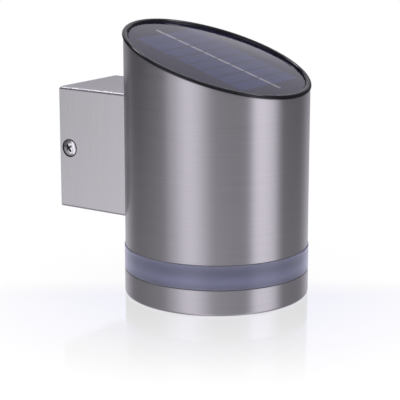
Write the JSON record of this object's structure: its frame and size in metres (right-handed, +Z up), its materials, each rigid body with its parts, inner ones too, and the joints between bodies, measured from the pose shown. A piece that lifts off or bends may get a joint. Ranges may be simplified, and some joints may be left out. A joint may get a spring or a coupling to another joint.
{
  "type": "solar wall light",
  "caption": "Upright steel tube light with a slanted solar top, a frosted light band near its foot and a square arm that locks over a wall plate.",
  "frame": {"origin": "middle of the back face of the wall plate, on the wall", "axes": "+Y into the wall, -Y out to the light, +X along the wall, +Z up"},
  "size_m": [0.086, 0.118, 0.1244],
  "materials": {
    "tube_steel": "brushed round the tube, satin",
    "ring_steel": "brushed round the ring, satin",
    "box_steel": "finely brushed, satin",
    "zinc_plated_steel": "zinc plated",
    "bright_screws": "bright plated",
    "nickel_plate": "nickel plated",
    "bezel_plastic": "gloss moulded",
    "black_plastic": "fine moulded texture",
    "door_plastic": "fine moulded texture",
    "knob_plastic": "moulded",
    "white_plastic": "moulded",
    "ivory_plastic": "moulded",
    "frosted_plastic": "frosted, translucent",
    "clear_cover": "clear, glossy",
    "solar_cells": "dark blue silicon",
    "silver_ribbon": "tinned",
    "panel_backing": "dark laminate",
    "foam_tape": "closed foam",
    "black_rubber": "matt",
    "grey_rubber": "matt",
    "green_board": "solder mask",
    "white_board": "white solder mask",
    "light_chips": "phosphor",
    "copper_winding": "enamelled wire",
    "capacitor_sleeve": "shrink sleeve",
    "cell_sleeve": "shrink sleeve",
    "red_jacket": "soft jacket",
    "black_jacket": "soft jacket",
    "white_jacket": "soft jacket"
  },
  "bodies": {
    "lamp": {"wall_plate": "zinc_plated_steel", "lock_screws": "bright_screws", "mount_box": "box_steel", "mount_bolts": "bright_screws", "mount_nuts": "bright_screws", "saddle_bar": "zinc_plated_steel", "housing_tube": "tube_steel", "tube_bridge": "zinc_plated_steel", "bezel_ring": "bezel_plastic", "bezel_seal": "black_rubber", "panel_cover": "clear_cover", "cell_strips": "solar_cells", "cell_ribbon": "silver_ribbon", "panel_board": "panel_backing", "panel_foam": "foam_tape", "chassis": "white_plastic", "chassis_screws": "bright_screws", "chassis_seal": "black_rubber", "control_board": "green_board", "board_screws": "bright_screws", "controller_chip": "black_plastic", "choke_coil": "copper_winding", "storage_capacitor": "capacitor_sleeve", "wire_terminals": "ivory_plastic", "led_board": "white_board", "led_chips": "light_chips", "led_board_screws": "bright_screws", "reflector": "white_plastic", "diffuser_ring": "frosted_plastic", "upper_seal": "grey_rubber", "lower_seal": "grey_rubber", "bottom_ring": "ring_steel", "base_plate": "black_plastic", "base_screws": "bright_screws", "battery_cells": "nickel_plate", "cell_wraps": "cell_sleeve", "battery_springs": "nickel_plate", "battery_contacts": "nickel_plate", "switch_body": "black_plastic", "switch_screws": "bright_screws", "red_wires": "red_jacket", "black_wires": "black_jacket", "white_wires": "white_jacket"},
    "battery_door": {"battery_door": "door_plastic", "door_seal": "black_rubber"},
    "switch_knob": {"switch_knob": "knob_plastic"}
  },
  "joints": [
    {"name": "battery_door_hinge", "type": "hinge", "parent": "lamp", "child": "battery_door", "pos_m": [0, -0.0611, -0.0614], "axis": [1, 0, 0], "range_deg": [0, 90]},
    {"name": "switch_slide", "type": "slide", "parent": "lamp", "child": "switch_knob", "axis": [1, 0, 0], "range_m": [0, 0.003]}
  ]
}
